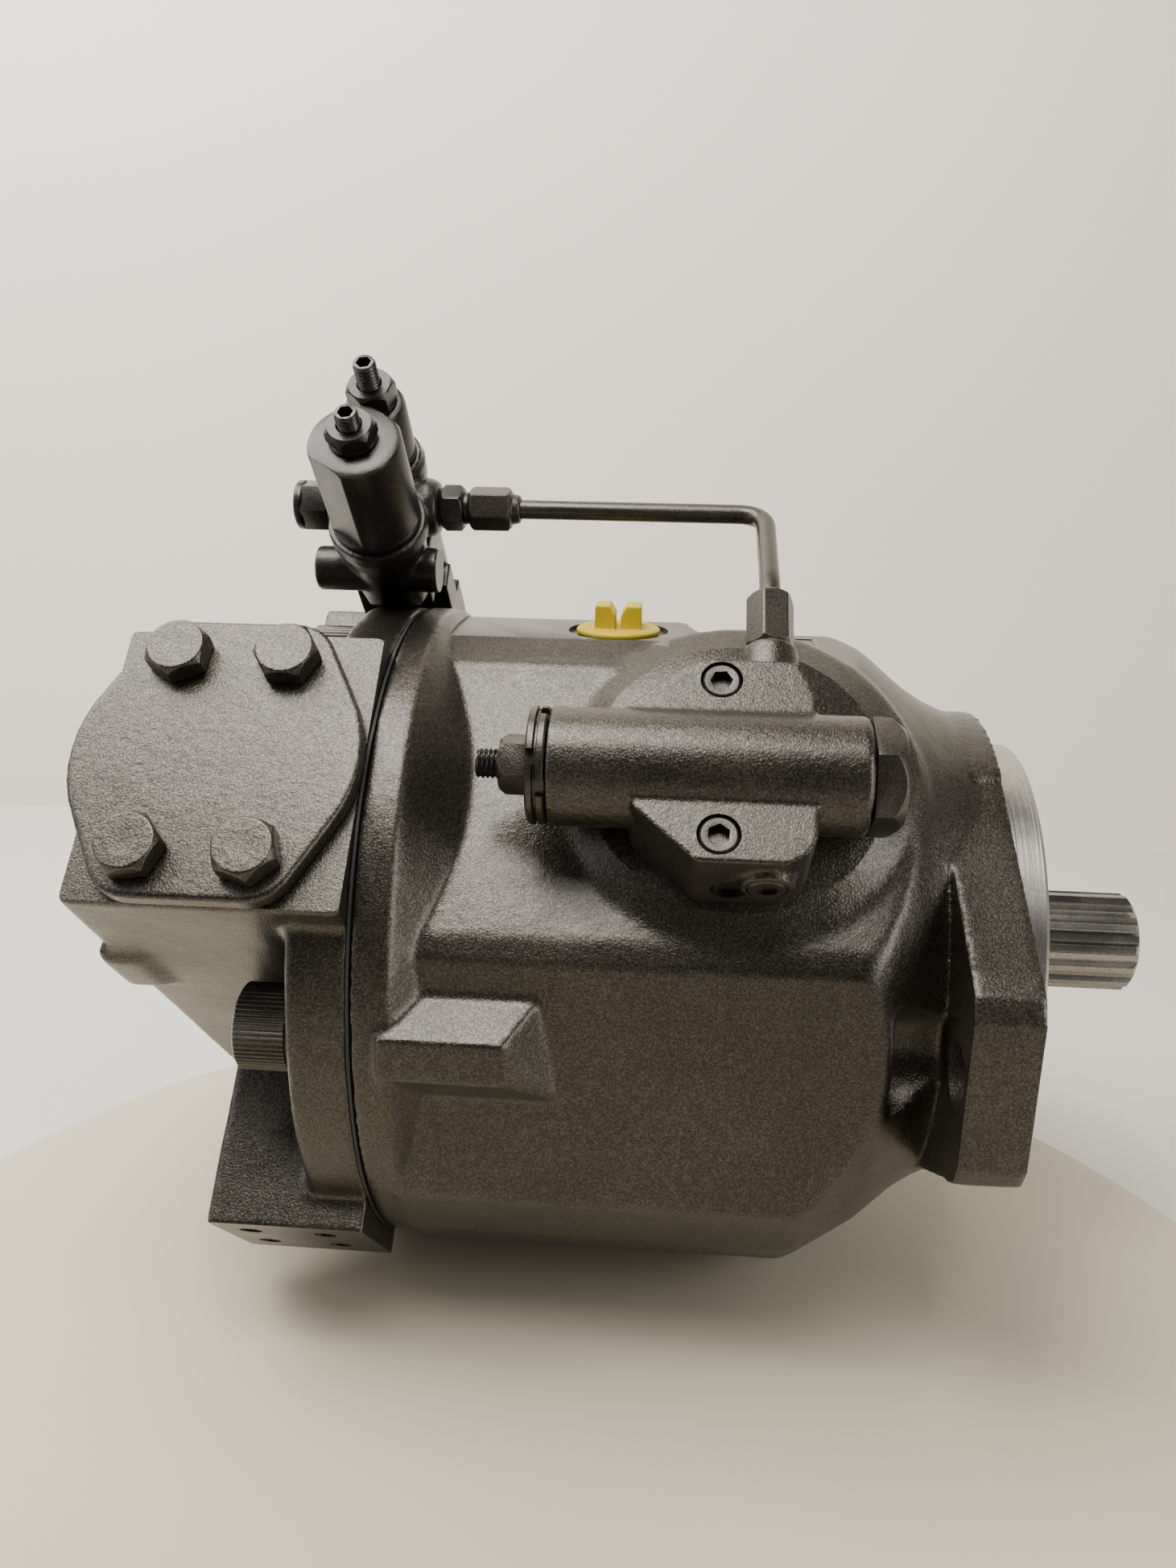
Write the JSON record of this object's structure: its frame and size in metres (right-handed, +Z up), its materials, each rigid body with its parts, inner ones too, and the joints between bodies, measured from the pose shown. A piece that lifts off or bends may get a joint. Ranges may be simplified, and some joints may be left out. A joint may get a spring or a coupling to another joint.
{
  "type": "axial piston pump",
  "caption": "Variable displacement swash plate piston pump with a splined shaft, two-bolt flange, side ports, a power valve, a piped control valve and a covered drain port.",
  "frame": {"origin": "middle of the pump's footprint, on the plane it stands on", "axes": "+X along the shaft towards its splined end, +Z up, -Y towards the side that carries the power valve and the covered port"},
  "size_m": [0.3086, 0.2096, 0.2805],
  "materials": {
    "body_paint": "dark grey metallic enamel over cast iron",
    "dark_paint": "darker brown-black metallic enamel",
    "bare_steel": "turned or ground",
    "bronze": "machined bronze",
    "zinc": "phosphated steel",
    "rubber": "black",
    "yellow_plastic": "moulded, satin"
  },
  "bodies": {
    "pump_body": {"front_housing": "body_paint", "port_plate": "body_paint", "housing_gasket": "rubber", "port_plate_screw_1": "body_paint", "port_plate_screw_2": "body_paint", "port_plate_screw_3": "body_paint", "port_plate_screw_4": "body_paint", "side_port_cover": "body_paint", "side_cover_bolt_1": "body_paint", "side_cover_bolt_2": "body_paint", "side_cover_bolt_3": "body_paint", "side_cover_bolt_4": "body_paint", "power_valve_body": "body_paint", "power_valve_ring_nut": "body_paint", "power_valve_lock_nut": "body_paint", "power_valve_end_plug": "body_paint", "power_valve_screw_upper": "body_paint", "power_valve_screw_lower": "body_paint", "control_valve_body": "dark_paint", "spring_can_front": "dark_paint", "spring_can_rear": "dark_paint", "can_lock_nut_front": "dark_paint", "can_lock_nut_rear": "dark_paint", "pilot_pipe": "body_paint", "pipe_nut_lower": "body_paint", "pipe_nut_upper": "body_paint", "pipe_fitting": "body_paint", "front_bearing": "bare_steel", "rear_bearing": "bare_steel", "shaft_seal": "rubber", "swash_cradle": "bronze", "valve_plate": "bronze"},
    "rotating_group": {"drive_shaft": "bare_steel", "cylinder_barrel": "bronze"},
    "swash": {"swash_plate": "bare_steel"},
    "retainer": {"retaining_plate": "bare_steel"},
    "stroke": {"stroke_piston": "bare_steel"},
    "bias": {"bias_rod": "bare_steel"},
    "piston_1_body": {"piston_1": "bare_steel"},
    "slipper_1_body": {"slipper_1": "bronze"},
    "piston_2_body": {"piston_2": "bare_steel"},
    "slipper_2_body": {"slipper_2": "bronze"},
    "piston_3_body": {"piston_3": "bare_steel"},
    "slipper_3_body": {"slipper_3": "bronze"},
    "piston_4_body": {"piston_4": "bare_steel"},
    "slipper_4_body": {"slipper_4": "bronze"},
    "piston_5_body": {"piston_5": "bare_steel"},
    "slipper_5_body": {"slipper_5": "bronze"},
    "piston_6_body": {"piston_6": "bare_steel"},
    "slipper_6_body": {"slipper_6": "bronze"},
    "piston_7_body": {"piston_7": "bare_steel"},
    "slipper_7_body": {"slipper_7": "bronze"},
    "piston_8_body": {"piston_8": "bare_steel"},
    "slipper_8_body": {"slipper_8": "bronze"},
    "piston_9_body": {"piston_9": "bare_steel"},
    "slipper_9_body": {"slipper_9": "bronze"},
    "front_screw": {"adjusting_screw_front": "zinc"},
    "rear_screw": {"adjusting_screw_rear": "zinc"},
    "power_stud": {"power_valve_stud": "zinc"},
    "drain_cap": {"drain_plug": "yellow_plastic"}
  },
  "joints": [
    {"name": "shaft_spin", "type": "hinge", "parent": "pump_body", "child": "rotating_group", "pos_m": [0.10035, 0.00176, 0.1035], "axis": [1, 0, 0], "range_deg": [-360, 360]},
    {"name": "swash_tilt", "type": "hinge", "parent": "pump_body", "child": "swash", "pos_m": [0.01635, 0.00176, 0.1035], "axis": [0, -0.7071, 0.7071], "range_deg": [0, 18]},
    {"name": "retainer_tilt", "type": "hinge", "parent": "rotating_group", "child": "retainer", "pos_m": [0.01635, 0.00176, 0.1035], "axis": [0, -0.7071, 0.7071], "range_deg": [0, 18]},
    {"name": "stroke_piston_slide", "type": "slide", "parent": "pump_body", "child": "stroke", "axis": [1, 0, 0], "range_m": [-0.02096, 0]},
    {"name": "bias_rod_slide", "type": "slide", "parent": "pump_body", "child": "bias", "axis": [1, 0, 0], "range_m": [0, 0.02096]},
    {"name": "piston_1_slide", "type": "slide", "parent": "rotating_group", "child": "piston_1_body", "axis": [1, 0, 0], "range_m": [-0.013, 0]},
    {"name": "slipper_1_swivel", "type": "hinge", "parent": "piston_1_body", "child": "slipper_1_body", "pos_m": [0.01635, 0.03004, 0.13178], "axis": [0, -0.7071, 0.7071], "range_deg": [0, 18]},
    {"name": "piston_2_slide", "type": "slide", "parent": "rotating_group", "child": "piston_2_body", "axis": [1, 0, 0], "range_m": [-0.00996, 0]},
    {"name": "slipper_2_swivel", "type": "hinge", "parent": "piston_2_body", "child": "slipper_2_body", "pos_m": [0.01635, 0.00524, 0.14335], "axis": [0, -0.7071, 0.7071], "range_deg": [0, 18]},
    {"name": "piston_3_slide", "type": "slide", "parent": "rotating_group", "child": "piston_3_body", "axis": [1, 0, 0], "range_m": [-0.00226, 0]},
    {"name": "slipper_3_swivel", "type": "hinge", "parent": "piston_3_body", "child": "slipper_3_body", "pos_m": [0.01635, -0.02118, 0.13627], "axis": [0, -0.7071, 0.7071], "range_deg": [0, 18]},
    {"name": "piston_4_slide", "type": "slide", "parent": "rotating_group", "child": "piston_4_body", "axis": [1, 0, 0], "range_m": [0, 0.0065]},
    {"name": "slipper_4_swivel", "type": "hinge", "parent": "piston_4_body", "child": "slipper_4_body", "pos_m": [0.01635, -0.03688, 0.11385], "axis": [0, -0.7071, 0.7071], "range_deg": [0, 18]},
    {"name": "piston_5_slide", "type": "slide", "parent": "rotating_group", "child": "piston_5_body", "axis": [1, 0, 0], "range_m": [0, 0.01222]},
    {"name": "slipper_5_swivel", "type": "hinge", "parent": "piston_5_body", "child": "slipper_5_body", "pos_m": [0.01635, -0.03449, 0.0866], "axis": [0, -0.7071, 0.7071], "range_deg": [0, 18]},
    {"name": "piston_6_slide", "type": "slide", "parent": "rotating_group", "child": "piston_6_body", "axis": [1, 0, 0], "range_m": [0, 0.01222]},
    {"name": "slipper_6_swivel", "type": "hinge", "parent": "piston_6_body", "child": "slipper_6_body", "pos_m": [0.01635, -0.01515, 0.06725], "axis": [0, -0.7071, 0.7071], "range_deg": [0, 18]},
    {"name": "piston_7_slide", "type": "slide", "parent": "rotating_group", "child": "piston_7_body", "axis": [1, 0, 0], "range_m": [0, 0.0065]},
    {"name": "slipper_7_swivel", "type": "hinge", "parent": "piston_7_body", "child": "slipper_7_body", "pos_m": [0.01635, 0.01211, 0.06486], "axis": [0, -0.7071, 0.7071], "range_deg": [0, 18]},
    {"name": "piston_8_slide", "type": "slide", "parent": "rotating_group", "child": "piston_8_body", "axis": [1, 0, 0], "range_m": [-0.00226, 0]},
    {"name": "slipper_8_swivel", "type": "hinge", "parent": "piston_8_body", "child": "slipper_8_body", "pos_m": [0.01635, 0.03452, 0.08056], "axis": [0, -0.7071, 0.7071], "range_deg": [0, 18]},
    {"name": "piston_9_slide", "type": "slide", "parent": "rotating_group", "child": "piston_9_body", "axis": [1, 0, 0], "range_m": [-0.00996, 0]},
    {"name": "slipper_9_swivel", "type": "hinge", "parent": "piston_9_body", "child": "slipper_9_body", "pos_m": [0.01635, 0.04161, 0.10699], "axis": [0, -0.7071, 0.7071], "range_deg": [0, 18]},
    {"name": "front_screw_travel", "type": "slide", "parent": "pump_body", "child": "front_screw", "axis": [0, -0.7071, 0.7071], "range_m": [-0.003, 0.003]},
    {"name": "rear_screw_travel", "type": "slide", "parent": "pump_body", "child": "rear_screw", "axis": [0, -0.7071, 0.7071], "range_m": [-0.003, 0.003]},
    {"name": "power_stud_travel", "type": "slide", "parent": "pump_body", "child": "power_stud", "axis": [1, 0, 0], "range_m": [-0.004, 0.004]},
    {"name": "drain_cap_lift", "type": "slide", "parent": "pump_body", "child": "drain_cap", "axis": [0, 0, 1], "range_m": [0, 0.02]}
  ],
  "couplings": [
    {"joint": "retainer_tilt", "follows": "swash_tilt", "ratio": 1},
    {"joint": "stroke_piston_slide", "follows": "swash_tilt", "m_per_rad": -0.066709},
    {"joint": "bias_rod_slide", "follows": "swash_tilt", "m_per_rad": 0.066709},
    {"joint": "piston_1_slide", "follows": "swash_tilt", "m_per_rad": -0.04137},
    {"joint": "slipper_1_swivel", "follows": "swash_tilt", "ratio": 1},
    {"joint": "piston_2_slide", "follows": "swash_tilt", "m_per_rad": -0.031691},
    {"joint": "slipper_2_swivel", "follows": "swash_tilt", "ratio": 1},
    {"joint": "piston_3_slide", "follows": "swash_tilt", "m_per_rad": -0.0071838},
    {"joint": "slipper_3_swivel", "follows": "swash_tilt", "ratio": 1},
    {"joint": "piston_4_slide", "follows": "swash_tilt", "m_per_rad": 0.020685},
    {"joint": "slipper_4_swivel", "follows": "swash_tilt", "ratio": 1},
    {"joint": "piston_5_slide", "follows": "swash_tilt", "m_per_rad": 0.038875},
    {"joint": "slipper_5_swivel", "follows": "swash_tilt", "ratio": 1},
    {"joint": "piston_6_slide", "follows": "swash_tilt", "m_per_rad": 0.038875},
    {"joint": "slipper_6_swivel", "follows": "swash_tilt", "ratio": 1},
    {"joint": "piston_7_slide", "follows": "swash_tilt", "m_per_rad": 0.020685},
    {"joint": "slipper_7_swivel", "follows": "swash_tilt", "ratio": 1},
    {"joint": "piston_8_slide", "follows": "swash_tilt", "m_per_rad": -0.0071838},
    {"joint": "slipper_8_swivel", "follows": "swash_tilt", "ratio": 1},
    {"joint": "piston_9_slide", "follows": "swash_tilt", "m_per_rad": -0.031691},
    {"joint": "slipper_9_swivel", "follows": "swash_tilt", "ratio": 1}
  ]
}
